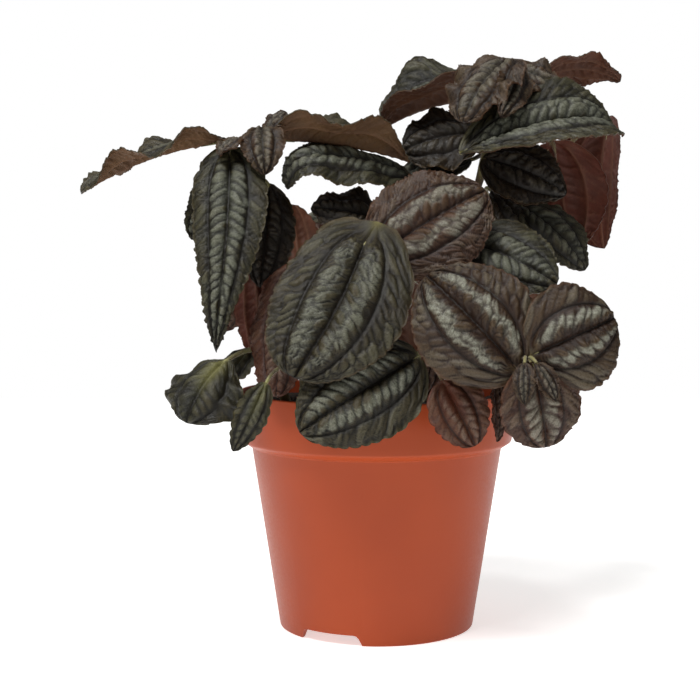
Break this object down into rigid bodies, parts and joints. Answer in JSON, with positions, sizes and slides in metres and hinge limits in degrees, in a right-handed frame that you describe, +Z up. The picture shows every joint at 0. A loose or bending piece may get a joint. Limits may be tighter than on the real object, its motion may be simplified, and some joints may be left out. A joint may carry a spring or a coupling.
{
  "type": "friendship plant in a nursery pot",
  "caption": "Leafy friendship plant with quilted, toothed, silver-banded leaves, rooted in a terracotta coloured plastic nursery pot.",
  "frame": {"origin": "middle of the underside of the whole plant's box, at the height of the pot's foot", "axes": "+Z up out of the pot, +X to the right and -Y towards the viewer of the plant's front"},
  "size_m": [0.2371, 0.1878, 0.2499],
  "materials": {
    "pot_plastic": "satin moulded polypropylene, terracotta colour",
    "potting_mix": "damp dark peat with fibres",
    "leaf": "living leaf, quilted, downy, grey-green with silver bands and brown-red underside"
  },
  "bodies": {
    "root": {"pot": "pot_plastic", "potting_mix": "potting_mix", "leafy_stem_tall_left": "leaf", "leafy_stem_left_front": "leaf", "leafy_stem_low_left": "leaf", "leafy_stem_centre": "leaf", "leafy_stem_low_front": "leaf", "leafy_stem_low_right": "leaf", "leafy_stem_tall_right": "leaf", "leafy_stem_right_back": "leaf", "leafy_stem_left_back": "leaf", "leafy_stem_back": "leaf"}
  },
  "joints": []
}
